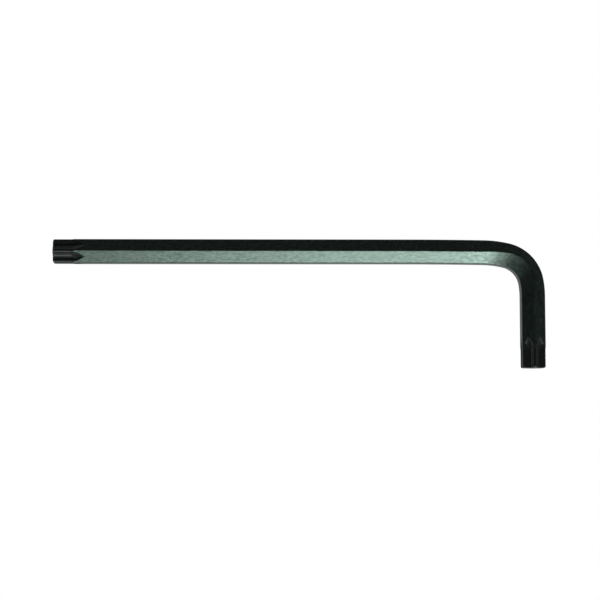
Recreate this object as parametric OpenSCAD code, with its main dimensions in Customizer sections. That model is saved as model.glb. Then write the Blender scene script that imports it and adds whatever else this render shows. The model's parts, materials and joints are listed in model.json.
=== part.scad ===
// Star key: one hexagonal steel bar, bent to an L, with a six-lobed star drive on each end.
// It lies flat, with the long arm along X, the short arm pointing to -Y and Z up.
// The origin is the middle of its box, on the surface that it lies on.

/* [Bar] */
// Width of the hexagonal bar across its flats
across_flats = 8; // [7:0.1:11]
// How far each drawn corner falls short of a sharp hexagon's corner
corner_cut = 0.09; // [0.02:0.01:0.4]

/* [Arms] */
// Length of the long arm, from its tip to the outside of the short arm
long_arm_length = 165; // [80:1:240]
// Length of the short arm, from its tip to the outside of the long arm
short_arm_length = 43.3; // [36:0.1:90]
// Radius on the inside of the bend
bend_radius = 9; // [5:0.1:12]

/* [Star tips] */
// Width of the star over its lobes
star_width = 8.83; // [8.2:0.01:9.6]
// Width of the star between opposite flutes
flute_width = 6.36; // [5.8:0.01:6.8]
// Radius of each lobe's round crest
lobe_radius = 0.75; // [0.5:0.01:0.9]
// Length of the straight flutes, from the end of the tip
star_length = 6.2; // [4:0.1:8]
// Length over which the flutes rise out of the bar
runout_length = 4.2; // [3:0.1:5]
// Length of the turned shoulder behind the lobes, up to the bar's corners
shoulder_length = 2.4; // [0.5:0.1:3]
// How far the bar stands out from the star where the star ends
shoulder_step = 0.05; // [0.02:0.01:0.15]
// Length of the chamfer round the end
chamfer_length = 1; // [0.3:0.1:2]
// How far the chamfer goes into the lobes
chamfer_depth = 0.6; // [0.1:0.05:0.8]
// Length of plain bar behind the flutes that is formed with the tip
collar_length = 2; // [0.5:0.1:4]

/* [Hidden] */
$fn = 96;

black_oxide = [0.13, 0.15, 0.14];
lobes = 6;
pitch = 360 / lobes;

// Bar's section, and the height of its centre line above the surface
sharp_corner_radius = across_flats / 2 / cos(pitch / 2);
corner_radius = sharp_corner_radius - corner_cut;
axis_z = corner_radius;

// Centre lines of the arms and of the bend between them
long_axis_y = short_arm_length / 2 - across_flats / 2;
short_axis_x = long_arm_length / 2 - across_flats / 2;
bend_axis_radius = bend_radius + across_flats / 2;

// Stretches of each arm
tip_length = star_length + runout_length + collar_length;
bend_reach = bend_radius + across_flats;
long_straight = long_arm_length - bend_reach - tip_length;
short_straight = short_arm_length - bend_reach - tip_length;

// Star's arcs: a flute's circle that just touches the lobes beside it gives the flute's radius,
// and the real flute is larger by a hair, so that it crosses them in a clean edge
flute_bite = 0.05;
star_radius = star_width / 2;
root_radius = flute_width / 2;
lobe_centre = star_radius - lobe_radius;
lobe_reach = lobe_centre * cos(pitch / 2);
touching_radius = (lobe_radius ^ 2 - root_radius ^ 2 - lobe_centre ^ 2 + 2 * lobe_reach * root_radius)
    / (2 * (root_radius - lobe_reach - lobe_radius));
flute_radius = touching_radius + flute_bite;

// Behind the star: the bar stands out from it by the step all round, and from there the bottom
// of each flute leaves the bar on an arc
shoulder_start = star_radius + shoulder_step;
shoulder_end = max(shoulder_start, sharp_corner_radius);
runout_root = root_radius + shoulder_step;
runout_flute = flute_radius - shoulder_step;
runout_depth = across_flats / 2 - runout_root;
runout_radius = (runout_length ^ 2 + runout_depth ^ 2) / (2 * runout_depth);

// Section of the bar, with flats facing along X and corners along Y
module bar_section() {
    intersection() {
        rotate(pitch / 2) circle(r = sharp_corner_radius, $fn = lobes);
        circle(r = corner_radius);
    }
}

// Point where the touching circle of a flute meets the lobe on side -1 or 1 of it
function touch_point(flute, side) =
    let (
        flute_at = flute * pitch,
        lobe_at = (flute + side / 2) * pitch,
        from = (root_radius + touching_radius) * [cos(flute_at), sin(flute_at)],
        to = lobe_centre * [cos(lobe_at), sin(lobe_at)]
    )
    from + (to - from) * touching_radius / (touching_radius + lobe_radius);

// Section of the star, with a flute facing along X
module star_section() {
    difference() {
        union() {
            polygon([for (k = [0:lobes - 1]) for (side = [-1, 1]) touch_point(k, side)]);
            for (k = [0:lobes - 1])
                rotate((k + 0.5) * pitch) translate([lobe_centre, 0]) circle(r = lobe_radius);
        }
        for (k = [0:lobes - 1])
            rotate(k * pitch) translate([root_radius + flute_radius, 0]) circle(r = flute_radius);
    }
}

// Straight star from the end of the tip, with its end chamfer
module fluted_end() {
    end_radius = star_radius - chamfer_depth;
    slope = chamfer_depth / chamfer_length;
    intersection() {
        linear_extrude(star_length) star_section();
        cylinder(h = star_length, r1 = end_radius, r2 = end_radius + slope * star_length);
    }
}

// Wheel that turns about Y, whose round rim leaves the end of one flute
module runout_wheel() {
    rotate([90, 0, 0]) rotate_extrude() intersection() {
        translate([runout_radius - runout_flute, 0]) circle(r = runout_flute);
        translate([0, -2 * runout_flute]) square([2 * runout_radius, 4 * runout_flute]);
    }
}

// Bar behind the star: a turned shoulder, with the flutes rising out of the flats
module runout() {
    back = tip_length - star_length;
    turned = [
        [0, 0], [shoulder_start, 0], [shoulder_end, shoulder_length], [shoulder_end, back], [0, back]
    ];
    difference() {
        intersection() {
            linear_extrude(back) bar_section();
            rotate_extrude() polygon(turned);
        }
        for (k = [0:lobes - 1])
            rotate(k * pitch) translate([runout_root + runout_radius, 0, 0]) runout_wheel();
    }
}

// Formed tip, from its end at the origin along Z
module star_tip() {
    fluted_end();
    translate([0, 0, star_length]) runout();
}

// Places a child that runs along Z on an arm, at a distance from that arm's end
module on_long_arm(from_end) {
    translate([from_end - long_arm_length / 2, long_axis_y, axis_z]) rotate([90, 0, 90]) children();
}

module on_short_arm(from_end) {
    translate([short_axis_x, from_end - short_arm_length / 2, axis_z]) rotate([-90, 0, 0]) children();
}

module long_star_tip() {
    color(black_oxide) on_long_arm(0) star_tip();
}

module long_arm() {
    color(black_oxide) on_long_arm(tip_length) linear_extrude(long_straight) bar_section();
}

module bend() {
    centre = [short_axis_x - bend_axis_radius, long_axis_y - bend_axis_radius, axis_z];
    color(black_oxide) translate(centre) rotate_extrude(angle = 90)
        translate([bend_axis_radius, 0]) bar_section();
}

module short_arm() {
    color(black_oxide) on_short_arm(tip_length) linear_extrude(short_straight) bar_section();
}

module short_star_tip() {
    color(black_oxide) on_short_arm(0) star_tip();
}

long_star_tip();
long_arm();
bend();
short_arm();
short_star_tip();
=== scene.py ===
import json
import math

import bmesh
import bpy
from mathutils import Matrix, Vector


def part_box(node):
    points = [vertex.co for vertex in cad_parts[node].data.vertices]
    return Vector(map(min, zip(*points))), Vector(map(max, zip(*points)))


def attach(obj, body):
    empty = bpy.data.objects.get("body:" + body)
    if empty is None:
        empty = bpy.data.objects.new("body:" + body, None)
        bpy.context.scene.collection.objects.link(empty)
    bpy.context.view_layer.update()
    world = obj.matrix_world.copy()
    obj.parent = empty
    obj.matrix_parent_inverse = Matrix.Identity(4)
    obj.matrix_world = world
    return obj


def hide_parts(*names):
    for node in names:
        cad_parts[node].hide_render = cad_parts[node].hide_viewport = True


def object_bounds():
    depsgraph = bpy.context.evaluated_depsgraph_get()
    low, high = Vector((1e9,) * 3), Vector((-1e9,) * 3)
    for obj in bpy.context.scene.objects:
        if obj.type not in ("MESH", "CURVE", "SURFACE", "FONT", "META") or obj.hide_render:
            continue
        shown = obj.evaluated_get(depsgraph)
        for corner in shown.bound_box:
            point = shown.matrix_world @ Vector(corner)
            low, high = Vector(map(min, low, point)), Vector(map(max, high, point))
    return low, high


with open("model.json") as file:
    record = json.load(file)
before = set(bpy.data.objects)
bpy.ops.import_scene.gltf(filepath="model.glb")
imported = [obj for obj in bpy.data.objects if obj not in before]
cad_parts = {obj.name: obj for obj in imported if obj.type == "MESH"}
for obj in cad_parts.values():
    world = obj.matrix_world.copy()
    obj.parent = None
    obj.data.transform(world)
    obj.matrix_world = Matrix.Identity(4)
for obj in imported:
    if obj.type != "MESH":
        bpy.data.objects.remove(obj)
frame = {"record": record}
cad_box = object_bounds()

scene = bpy.context.scene

# Long arm, bend and short arm
# Plain stretches of one hexagonal bar of tool steel. It is drawn through a die, which rounds its corners
# and leaves fine lines along it, then bent to an L round a former and blackened in a hot salt bath.
MM = 0.001
FLATS = 6
FLAT_ANGLE = 2 * math.pi / FLATS


def box_mm(node):
    """Lowest and highest corner of a node, in millimetres."""
    return [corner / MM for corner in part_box(node)]


key_low = cad_box[0] / MM
long_low, long_high = box_mm("long_arm")
short_low, short_high = box_mm("short_arm")
flat_half = (long_high.y - long_low.y) / 2
corner_half = (long_high.z - long_low.z) / 2
axis_z = (long_high.z + long_low.z) / 2
long_axis_y = (long_high.y + long_low.y) / 2
short_axis_x = (short_high.x + short_low.x) / 2

# Centre line in millimetres: the long arm is slightly bowed, and arcs ease into and out of the tight bend
BOW_RADIUS = 1390.0
BOW_TURN = math.radians(1.0)
EASE_IN_RADIUS = 36.0
EASE_IN_TURN = math.radians(12.4)
TIGHT_RADIUS = 11.05
EASE_OUT_RADIUS = 29.0
EASE_OUT_TURN = math.radians(9.8)
bend_arcs = [
    (BOW_RADIUS, BOW_TURN),
    (EASE_IN_RADIUS, EASE_IN_TURN),
    (TIGHT_RADIUS, math.pi / 2 - BOW_TURN - EASE_IN_TURN - EASE_OUT_TURN),
    (EASE_OUT_RADIUS, EASE_OUT_TURN),
]
reach_x = reach_y = heading = 0.0
for arc_radius, arc_turn in bend_arcs:
    reach_x += arc_radius * (math.sin(heading + arc_turn) - math.sin(heading))
    reach_y += arc_radius * (math.cos(heading) - math.cos(heading + arc_turn))
    heading += arc_turn
long_run = short_axis_x - reach_x - key_low.x
short_run = long_axis_y - reach_y - key_low.y
arc_lengths = [(arc_radius * arc_turn, arc_turn) for arc_radius, arc_turn in bend_arcs]
centre_line = [(long_run, 0.0)] + arc_lengths + [(short_run, 0.0)]
bar_length = sum(length for length, turn in centre_line)

# Where the stretches meet along that line: the bend begins and ends inside the easing arcs
arm_start = long_low.x - key_low.x
bow_end = key_low.x + long_run + BOW_RADIUS * math.sin(BOW_TURN)
joint_turn = math.asin(math.sin(BOW_TURN) + (long_high.x - bow_end) / EASE_IN_RADIUS)
turn_start = long_run + BOW_RADIUS * BOW_TURN
bend_start = turn_start + EASE_IN_RADIUS * (joint_turn - BOW_TURN)
left_to_turn = math.asin((short_high.y - key_low.y - short_run) / EASE_OUT_RADIUS)
turn_end = bar_length - short_run
bend_end = turn_end - EASE_OUT_RADIUS * left_to_turn
short_end = bar_length - (short_low.y - key_low.y)

# Bending squeezes the section, so that its ridges move outwards and sink, most of all in mid-bend
RIDGE_SLIDE = 1.33
RIDGE_DROP = 0.69
SQUEEZE_LEAD = 2.0
SQUEEZE_IN = 16.0
SQUEEZE_OUT = 14.0
SQUEEZE_POWER = 1.5
SQUEEZE_BLEND = 0.5

# Columns crowd towards the corners, which are rounded. Sharp edges get no smooth shading, and wear reaches
# a few degrees to each side of a corner
COLUMN_CROWDING = 0.8
CORNER_BLEND = 0.06
WELD = 0.001
SHARP_EDGE = math.radians(45)
RUB_ANGLE = math.radians(5)


class Term:
    """A number inside a node tree: a sum that is done with it adds the Math node for that sum."""

    def __init__(self, socket):
        self.socket = socket
        self.tree = socket.id_data

    def math(self, operation, *values):
        node = self.tree.nodes.new("ShaderNodeMath")
        node.operation = operation
        for entry, value in zip(node.inputs, values):
            feed(self.tree, value, entry)
        return Term(node.outputs[0])

    def then(self, operation, *others):
        return self.math(operation, self, *others)

    def __add__(self, other):
        return self.math("ADD", self, other)

    def __sub__(self, other):
        return self.math("SUBTRACT", self, other)

    def __rsub__(self, other):
        return self.math("SUBTRACT", other, self)

    def __mul__(self, other):
        return self.math("MULTIPLY", self, other)

    def __truediv__(self, other):
        return self.math("DIVIDE", self, other)

    def __rtruediv__(self, other):
        return self.math("DIVIDE", other, self)

    def __pow__(self, other):
        return self.math("POWER", self, other)

    __radd__ = __add__


def feed(tree, value, entry):
    """Joins a term or a node's output to a socket, or sets the socket to a plain value."""
    if isinstance(value, Term):
        value = value.socket
    if isinstance(value, bpy.types.NodeSocket):
        tree.links.new(value, entry)
    else:
        entry.default_value = value


def add_node(tree, kind, inputs, **settings):
    """Adds a node, sets what it does, feeds its inputs by name and gives its first output."""
    node = tree.nodes.new(kind)
    for name, value in settings.items():
        setattr(node, name, value)
    for name, value in inputs.items():
        feed(tree, value, node.inputs[name])
    return node.outputs[0]


def split(tree, vector):
    """Three terms for the parts of a vector."""
    node = add_node(tree, "ShaderNodeSeparateXYZ", {"Vector": vector}).node
    return [Term(part) for part in node.outputs]


def join(tree, x, y, z):
    return add_node(tree, "ShaderNodeCombineXYZ", {"X": x, "Y": y, "Z": z})


def ease(term, low, high):
    """Smooth step of a term, from 0 at one value to 1 at the other."""
    inputs = {"Value": term, "From Min": low, "From Max": high}
    return Term(add_node(term.tree, "ShaderNodeMapRange", inputs, interpolation_type="SMOOTHSTEP"))


def limit(term, low, high):
    return term.then("MAXIMUM", low).then("MINIMUM", high)


def place(tree):
    return add_node(tree, "GeometryNodeInputPosition", {})


def start_tree(name, sizes):
    """Starts a tree with one named input for each size, and gives the inputs as terms."""
    tree = bpy.data.node_groups.new(name, "GeometryNodeTree")
    tree.interface.new_socket("Mesh", in_out="OUTPUT", socket_type="NodeSocketGeometry")
    for label, value in sizes.items():
        kind = "NodeSocketInt" if isinstance(value, int) else "NodeSocketFloat"
        tree.interface.new_socket(label, in_out="INPUT", socket_type=kind)
    entry = tree.nodes.new("NodeGroupInput")
    return tree, [Term(entry.outputs[label]) for label in sizes]


def flat_grid(tree, columns, rows):
    """Grid for one flat, with its angle from the flat's middle and its row number as terms."""
    size = {"Size X": 1.0, "Size Y": 1.0, "Vertices X": columns + 1, "Vertices Y": rows + 1}
    grid = add_node(tree, "GeometryNodeMeshGrid", size)
    across, down = split(tree, place(tree))[:2]
    share = across + 0.5
    crowded = share - (share * (2 * math.pi)).then("SINE") * (COLUMN_CROWDING / (2 * math.pi))
    return grid, (crowded - 0.5) * FLAT_ANGLE, (down + 0.5) * rows


def hexagon(fold):
    """Radius of the drawn bar at an angle from the middle of a flat, with its corners rounded."""
    this_flat = flat_half / fold.then("COSINE")
    next_flat = flat_half / (FLAT_ANGLE - fold.then("ABSOLUTE")).then("COSINE")
    sharp = this_flat.then("SMOOTH_MIN", next_flat, CORNER_BLEND)
    return sharp.then("SMOOTH_MIN", corner_half, CORNER_BLEND)


def close_round(tree, grid, along, radius, fold, marks):
    """Makes one side of the straight bar from a grid, with its marks, and a closed skin of six sides."""
    spot = join(tree, along, radius * fold.then("COSINE"), radius * fold.then("SINE"))
    side = grid
    for name, mark in marks.items():
        mark_inputs = {"Geometry": side, "Name": name, "Value": mark}
        side = add_node(tree, "GeometryNodeStoreNamedAttribute", mark_inputs)
    side = add_node(tree, "GeometryNodeSetPosition", {"Geometry": side, "Position": spot})
    axis = add_node(tree, "GeometryNodeMeshLine", {"Count": FLATS, "Offset": (0.0, 0.0, 0.0)})
    number = Term(add_node(tree, "GeometryNodeInputIndex", {}))
    euler = join(tree, number * FLAT_ANGLE, 0.0, 0.0)
    turn = add_node(tree, "FunctionNodeEulerToRotation", {"Euler": euler})
    sides = {"Points": axis, "Instance": side, "Rotation": turn}
    ring = add_node(tree, "GeometryNodeInstanceOnPoints", sides)
    skin = add_node(tree, "GeometryNodeRealizeInstances", {"Geometry": ring})
    return add_node(tree, "GeometryNodeMergeByDistance", {"Geometry": skin, "Distance": WELD})


def bend_and_finish(tree, skin, finish):
    """Lays the straight skin along the centre line, in metres, and gives it its shading and finish."""
    straight = {"Geometry": skin, "Name": "straight", "Value": place(tree)}
    skin = add_node(tree, "GeometryNodeStoreNamedAttribute", straight, data_type="FLOAT_VECTOR")
    along, out, up = split(tree, place(tree))
    x, y, turn = key_low.x, long_axis_y, 0.0
    passed, turned = 0.0, 0.0
    for length, bend in centre_line:
        part = limit(along - passed, 0.0, length)
        if bend:
            radius = length / bend
            heading = part / radius + turned
            x = x + (heading.then("SINE") - math.sin(turned)) * radius
            y = y + (heading.then("COSINE") - math.cos(turned)) * radius
            turn = turn + part / radius
        else:
            x = x + part * math.cos(turned)
            y = y - part * math.sin(turned)
        passed += length
        turned += bend
    grows = (along - (turn_start - SQUEEZE_LEAD)).then("MAXIMUM", 0) / SQUEEZE_IN
    fades = ((turn_end + SQUEEZE_LEAD) - along).then("MAXIMUM", 0) / SQUEEZE_OUT
    squeeze = (grows**SQUEEZE_POWER).then("SMOOTH_MIN", fades**SQUEEZE_POWER, SQUEEZE_BLEND)
    side_height = flat_half * math.tan(FLAT_ANGLE / 2)
    up_the_face = (up.then("ABSOLUTE") - side_height) / (corner_half - side_height)
    ridge_share = limit(up_the_face, 0.0, 1.0) * squeeze
    out = out + ridge_share * RIDGE_SLIDE
    up = up - ridge_share * up.then("SIGN") * RIDGE_DROP
    spot = join(tree, x + out * turn.then("SINE"), y + out * turn.then("COSINE"), up + axis_z)
    metres = add_node(tree, "ShaderNodeVectorMath", {"Vector": spot, "Scale": MM}, operation="SCALE")
    mesh = add_node(tree, "GeometryNodeSetPosition", {"Geometry": skin, "Position": metres})
    mesh = add_node(tree, "GeometryNodeSetShadeSmooth", {"Geometry": mesh})
    sharp = Term(add_node(tree, "GeometryNodeInputMeshEdgeAngle", {})).then("GREATER_THAN", SHARP_EDGE)
    creases = {"Geometry": mesh, "Selection": sharp, "Shade Smooth": False}
    mesh = add_node(tree, "GeometryNodeSetShadeSmooth", creases, domain="EDGE")
    mesh = add_node(tree, "GeometryNodeRealizeInstances", {"Geometry": mesh})
    mesh = add_node(tree, "GeometryNodeSetMaterial", {"Geometry": mesh, "Material": finish})
    exit_node = tree.nodes.new("NodeGroupOutput")
    feed(tree, mesh, exit_node.inputs["Mesh"])


def make_piece(node, tree, sizes):
    """Runs a tree with its sizes, keeps the result as a plain mesh and puts it in its node's place."""
    piece = bpy.data.objects.new(node + "_steel", bpy.data.meshes.new(node))
    scene.collection.objects.link(piece)
    maker = piece.modifiers.new("Maker", "NODES")
    maker.node_group = tree
    for socket in tree.interface.items_tree:
        if socket.in_out == "INPUT":
            maker[socket.identifier] = sizes[socket.name]
    seen = piece.evaluated_get(bpy.context.evaluated_depsgraph_get())
    mesh = bpy.data.meshes.new_from_object(seen)
    piece.modifiers.remove(maker)
    piece.data = mesh
    faces = bmesh.new()
    faces.from_mesh(mesh)
    bmesh.ops.recalc_face_normals(faces, faces=faces.faces)
    faces.to_mesh(mesh)
    faces.free()
    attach(piece, "root")
    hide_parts(node)


# Black oxide: dark green-grey and satin, mottled by the bath, lined by the die, rubbed on its corners, and
# marked by the clamp beside the bend
OXIDE_THICK = (0.070, 0.100, 0.086, 1.0)
OXIDE_THIN = (0.136, 0.190, 0.165, 1.0)
OXIDE_BROWN = (0.112, 0.140, 0.121, 1.0)
RUBBED = (0.20, 0.235, 0.215, 1.0)
BURNISHED = (0.18, 0.24, 0.21, 1.0)
PRESSED = (0.078, 0.090, 0.085, 1.0)
SPECKLE_SHARE = 0.3
BROWN_SHARE = 0.35
RUBBED_SHARE = 0.5
CLAMP_SHARE = 0.45
CLAMP_BEFORE_BEND = 12.0
CLAMP_INTO_BEND = 1.5
CLAMP_FADE = 4.0
SMOOTHEST = 0.23
MOTTLE_ROUGHNESS = 0.12
LINE_ROUGHNESS = 0.05
SPECKLE_ROUGHNESS = 0.05
MOTTLE_HEIGHT = 0.6
LINE_HEIGHT = 0.4
SPECKLE_HEIGHT = 0.4
RELIEF_STRENGTH = 0.15
RELIEF_DEPTH = 0.0002
black_oxide = bpy.data.materials.new("Black oxide")
black_oxide.use_nodes = True
coat = black_oxide.node_tree
steel = coat.nodes["Principled BSDF"]
steel.inputs["Metallic"].default_value = 1.0


def attribute(name, output):
    node = coat.nodes.new("ShaderNodeAttribute")
    node.attribute_name = name
    return node.outputs[output]


def grain(scale, detail, stretch=(1.0, 1.0, 1.0)):
    """Noise on the straight bar, with its scale for each millimetre."""
    mapping = {"Vector": attribute("straight", "Vector"), "Scale": stretch}
    spot = add_node(coat, "ShaderNodeMapping", mapping)
    return Term(add_node(coat, "ShaderNodeTexNoise", {"Vector": spot, "Scale": scale, "Detail": detail}))


def blend_colours(share, first, second):
    """Colour that goes from the first to the second with a share, from the Mix node's colour sockets."""
    node = coat.nodes.new("ShaderNodeMix")
    node.data_type = "RGBA"
    share_entry, first_entry, second_entry = [entry for entry in node.inputs if entry.enabled]
    feed(coat, share, share_entry)
    feed(coat, first, first_entry)
    feed(coat, second, second_entry)
    return next(result for result in node.outputs if result.enabled)


mottle = grain(scale=1.2, detail=5.0, stretch=(0.6, 1.0, 1.0))
lines = grain(scale=4.0, detail=3.0, stretch=(0.02, 1.0, 1.0))
speckle = grain(scale=3.5, detail=2.0, stretch=(0.7, 1.0, 1.0))
thin = ease(mottle * (1 - SPECKLE_SHARE) + speckle * SPECKLE_SHARE, low=0.3, high=0.7)
brown = ease(grain(scale=0.12, detail=2.0), low=0.45, high=0.75) * BROWN_SHARE
worn = ease(grain(scale=0.7, detail=5.0), low=0.45, high=0.75) * RUBBED_SHARE
rubbed = Term(attribute("rub", "Fac")) * worn
along_bar = split(coat, attribute("straight", "Vector"))[0]
clamp_from = bend_start - CLAMP_BEFORE_BEND
clamp_to = bend_start + CLAMP_INTO_BEND
clamp_grows = ease(along_bar, clamp_from, clamp_from + CLAMP_FADE)
clamp_fades = ease(along_bar, clamp_to, clamp_to - CLAMP_FADE)
clamp_spots = ease(grain(scale=0.8, detail=2.0), low=0.54, high=0.60)
clamp_marks = clamp_grows * clamp_fades * clamp_spots * CLAMP_SHARE
oxide = blend_colours(thin, OXIDE_THICK, OXIDE_THIN)
oxide = blend_colours(brown, oxide, OXIDE_BROWN)
oxide = blend_colours(clamp_marks, oxide, BURNISHED)
oxide = blend_colours(rubbed, oxide, RUBBED)
oxide = blend_colours(attribute("pressed", "Fac"), oxide, PRESSED)
roughness = SMOOTHEST + mottle * MOTTLE_ROUGHNESS + lines * LINE_ROUGHNESS + speckle * SPECKLE_ROUGHNESS
relief = {
    "Height": lines * LINE_HEIGHT + speckle * SPECKLE_HEIGHT + mottle * MOTTLE_HEIGHT,
    "Strength": RELIEF_STRENGTH,
    "Distance": RELIEF_DEPTH,
}
feed(coat, oxide, steel.inputs["Base Color"])
feed(coat, roughness, steel.inputs["Roughness"])
feed(coat, add_node(coat, "ShaderNodeBump", relief), steel.inputs["Normal"])

bar_sizes = {"Start": arm_start, "End": bend_start, "Columns": 28, "Rows": 130}
bar_tree, (bar_from, bar_to, bar_columns, bar_rows) = start_tree("Drawn bar", bar_sizes)
bar_steps = bar_rows + 2
bar_grid, bar_fold, bar_row = flat_grid(bar_tree, bar_columns, bar_steps)
bar_share = limit((bar_row - 1) / bar_rows, 0.0, 1.0)
bar_rim = limit(bar_row.then("MINIMUM", bar_steps - bar_row), 0.0, 1.0)
from_corner = FLAT_ANGLE / 2 - bar_fold.then("ABSOLUTE")
bar_skin = close_round(
    bar_tree,
    bar_grid,
    bar_from + (bar_to - bar_from) * bar_share,
    hexagon(bar_fold) * bar_rim,
    bar_fold,
    {"rub": ease(from_corner, RUB_ANGLE, 0.0)},
)
bend_and_finish(bar_tree, bar_skin, black_oxide)
make_piece("long_arm", bar_tree, bar_sizes)
make_piece("bend", bar_tree, bar_sizes | {"Start": bend_start, "End": bend_end, "Rows": 96})
make_piece("short_arm", bar_tree, bar_sizes | {"Start": bend_end, "End": short_end, "Rows": 20})

# Star tips
# The two ends of the same bar, pressed in a die to six lobes with round flutes between them. The flutes
# run out into the flats in a point, the corners have a turned shoulder, and the end is chamfered.
mount_dims = {mount["name"]: mount["dims"] for mount in frame["record"]["mounts"]}
star_dims = mount_dims["long_tip_drive"]
star_sizes = {
    "Free end": 0.0,
    "Direction": 1.0,
    "Columns": 48,
    "Rows": 150,
    "Tip length": arm_start,
    "Star length": star_dims["length_mm"],
    "Star radius": star_dims["r_mm"],
    "Root radius": 3.18,
    "Lobe radius": 0.75,
    "Flute length": 8.0,
    "Run-out length": 2.65,
    "Shoulder length": 2.4,
    "Shoulder rise": 0.35,
    "Edge length": 0.4,
    "Edge depth": 0.55,
    "End dome": 0.12,
}
END_RINGS = 4
RING_CROWDING = 3
ROW_CROWDING = 1.6
CREST_BLEND = 0.1
RUNOUT_ARC = 1.4
RUNOUT_STOP = 0.99
RUNOUT_CLEAR = 0.6
EDGE_BLEND = 0.1
PRESSED_DEPTH = 0.03
half_pitch = FLAT_ANGLE / 2
half_cosine = math.cos(half_pitch)
star_tree, star_terms = start_tree("Star tip", star_sizes)
free_end, direction, tip_columns, tip_rows, tip_length = star_terms[:5]
star_length, star_radius, root, lobe, flute_length, runout = star_terms[5:11]
shoulder, rise, edge_length, edge_depth, dome = star_terms[11:]

# Rows: rings of the end face, crowded to its edge, the sides, crowded to the end, and the hidden cap
star_steps = tip_rows + (END_RINGS + 1)
star_grid, star_fold, star_row = flat_grid(star_tree, tip_columns, star_steps)
end_share = 1 - (1 - limit(star_row / END_RINGS, 0.0, 1.0)) ** RING_CROWDING
star_rim = end_share.then("MINIMUM", limit(star_steps - star_row, 0.0, 1.0))
side_depth = limit((star_row - END_RINGS) / tip_rows, 0.0, 1.0) ** ROW_CROWDING * (tip_length - dome)
depth = side_depth + dome * end_share * end_share

# A flute's circle touches the lobes beside it. Past the straight star its floor rises, more and more
# steeply, up to the flat, and near its end the flute narrows to a point
lobe_middle = star_radius - lobe
lobe_reach = lobe_middle * half_cosine
straight_flute = (lobe * lobe - root * root - lobe_middle * lobe_middle + lobe_reach * root * 2) / (
    (root - lobe_reach - lobe) * 2
)
flute_depth = flat_half - root
flute_half = (straight_flute * flute_depth * 2 - flute_depth * flute_depth).then("SQRT")
past = (depth - flute_length) / runout
narrowed = limit(past, 0.0, RUNOUT_STOP)
risen = limit((depth - star_length) / (flute_length + runout - star_length), 0.0, RUNOUT_STOP)
scoop_depth = flute_depth * (1 - risen**RUNOUT_ARC)
scoop_half = flute_half * (1 - narrowed)
flute = (scoop_half * scoop_half + scoop_depth * scoop_depth) / (scoop_depth * 2)
flute_middle = flat_half - scoop_depth + flute + (past - RUNOUT_STOP).then("MAXIMUM", 0) * RUNOUT_CLEAR

# Behind the star the crests rise over the bar's corners, and each lobe stays tangent to its flutes
crest = star_radius + rise * ease(depth, star_length, star_length + shoulder)
lobe_here = (
    flute_middle * flute_middle
    - flute_middle * crest * (2 * half_cosine)
    + crest * crest
    - flute * flute
) / ((flute + crest - flute_middle * half_cosine) * 2)
middle_here = crest - lobe_here
touch = flute / (flute + lobe_here)
touch_side = middle_here * touch * math.sin(half_pitch)
touch_out = flute_middle + (middle_here * half_cosine - flute_middle) * touch
touch_angle = touch_side.then("ARCTAN2", touch_out)
from_flute = star_fold.then("ABSOLUTE")
from_crest = half_pitch - from_flute


def circle_side(middle, radius, angle, side):
    """Radius of a circle's near or far side, seen at an angle from its middle."""
    sideways = middle * angle.then("SINE")
    half_chord = (radius * radius - sideways * sideways).then("MAXIMUM", 0).then("SQRT")
    return middle * angle.then("COSINE") + half_chord * side


in_flute = from_flute.then("LESS_THAN", touch_angle)
flute_radius = circle_side(flute_middle, flute, from_flute, -1)
crest_radius = circle_side(middle_here, lobe_here, from_crest, 1)
star_outline = crest_radius + (flute_radius - crest_radius) * in_flute
end_cone = star_radius - edge_depth * (1 - side_depth / edge_length)
bar_outline = hexagon(star_fold)
formed = bar_outline.then("SMOOTH_MIN", star_outline, CREST_BLEND)
pressed = ease(bar_outline - star_outline, 0.0, PRESSED_DEPTH)
star_skin = close_round(
    star_tree,
    star_grid,
    free_end + direction * depth,
    formed.then("SMOOTH_MIN", end_cone, EDGE_BLEND) * star_rim,
    star_fold,
    {"rub": ease(from_crest, RUB_ANGLE, 0.0), "pressed": pressed},
)
bend_and_finish(star_tree, star_skin, black_oxide)
make_piece("long_star_tip", star_tree, star_sizes)
make_piece("short_star_tip", star_tree, star_sizes | {"Free end": bar_length, "Direction": -1.0})

# Table and studio
# A plain white table under the key, a large soft box beyond the inside of the bend, to the right, which
# lights the face that is turned to it, and a weak panel on the left. The rest of the room is dim.
WHITE = (1.0, 1.0, 1.0, 1.0)
TABLE_SIDE = 6.0
TABLE_GREY = (0.5, 0.5, 0.5, 1.0)
TABLE_ROUGHNESS = 0.9
TABLE_GLOW = 0.3
ROOM_LIGHT = 0.045


def light_panel(name, azimuth, elevation, distance, width, height, radiance):
    """Area light of a given radiance, which faces the key from a direction in degrees."""
    lamp = bpy.data.lights.new(name, "AREA")
    lamp.shape = "RECTANGLE"
    lamp.size = width
    lamp.size_y = height
    lamp.energy = radiance * math.pi * width * height
    panel = bpy.data.objects.new(name, lamp)
    round_z = Matrix.Rotation(math.radians(azimuth), 4, "Z")
    round_x = Matrix.Rotation(math.radians(90 - elevation), 4, "X")
    panel.matrix_world = round_z @ round_x @ Matrix.Translation((0.0, 0.0, distance))
    scene.collection.objects.link(panel)


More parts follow.
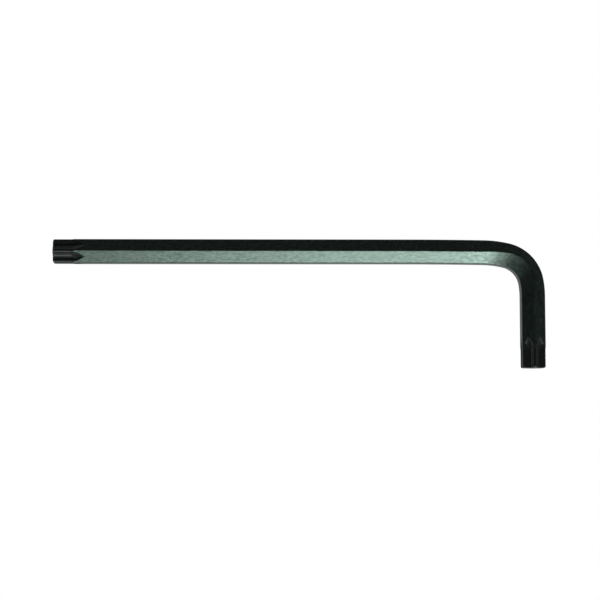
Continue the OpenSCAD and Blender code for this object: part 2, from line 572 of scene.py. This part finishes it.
table_mesh = bpy.data.meshes.new("Table")
corner = TABLE_SIDE / 2
table_corners = [(-corner, -corner, 0), (corner, -corner, 0), (corner, corner, 0), (-corner, corner, 0)]
table_mesh.from_pydata(table_corners, [], [(0, 1, 2, 3)])
table = bpy.data.objects.new("Table", table_mesh)
scene.collection.objects.link(table)
table_white = bpy.data.materials.new("Table")
table_white.use_nodes = True
table_tree = table_white.node_tree
table_skin = table_tree.nodes["Principled BSDF"]
table_skin.inputs["Base Color"].default_value = TABLE_GREY
table_skin.inputs["Roughness"].default_value = TABLE_ROUGHNESS
table_skin.inputs["Emission Color"].default_value = WHITE
table_skin.inputs["Emission Strength"].default_value = TABLE_GLOW
plain_white = add_node(table_tree, "ShaderNodeEmission", {"Color": WHITE, "Strength": 1.0})
seen_straight = add_node(table_tree, "ShaderNodeLightPath", {})
table_mix = table_tree.nodes.new("ShaderNodeMixShader")
for entry, value in zip(table_mix.inputs, (seen_straight, table_skin.outputs[0], plain_white)):
    feed(table_tree, value, entry)
feed(table_tree, table_mix.outputs[0], table_tree.nodes["Material Output"].inputs["Surface"])
table_mesh.materials.append(table_white)

room = bpy.data.worlds.new("Room")
room.use_nodes = True
walls = room.node_tree.nodes["Background"]
walls.inputs["Color"].default_value = WHITE
wall_seen = Term(add_node(room.node_tree, "ShaderNodeLightPath", {}))
feed(room.node_tree, ROOM_LIGHT + wall_seen * (1 - ROOM_LIGHT), walls.inputs["Strength"])
scene.world = room
light_panel("Soft box", azimuth=23, elevation=31, distance=2.4, width=1.75, height=0.7, radiance=9.2)
light_panel("Left panel", azimuth=-30, elevation=55, distance=0.6, width=0.35, height=0.35, radiance=0.28)

# Camera
# It looks down on the key from the inside of the bend, a little from the side of the long tip.
CAMERA_PLACE = Vector((-20.0, -48.0, 600.0))
CAMERA_AIM = Vector((0.14, 1.41, axis_z))
CAMERA_ROLL = math.radians(-0.14)
VIEW_WIDTH = 201.38
sight = CAMERA_PLACE - CAMERA_AIM
lens = bpy.data.cameras.new("Camera")
lens.lens = lens.sensor_width * sight.length / VIEW_WIDTH
camera = bpy.data.objects.new("Camera", lens)
scene.collection.objects.link(camera)
back = sight.normalized()
right = Vector((0.0, 1.0, 0.0)).cross(back).normalized()
looking = Matrix((right, back.cross(right), back)).transposed().to_4x4()
roll = Matrix.Rotation(CAMERA_ROLL, 4, "Z")
camera.matrix_world = Matrix.Translation(CAMERA_PLACE * MM) @ looking @ roll
scene.camera = camera
scene.view_settings.view_transform = "Standard"
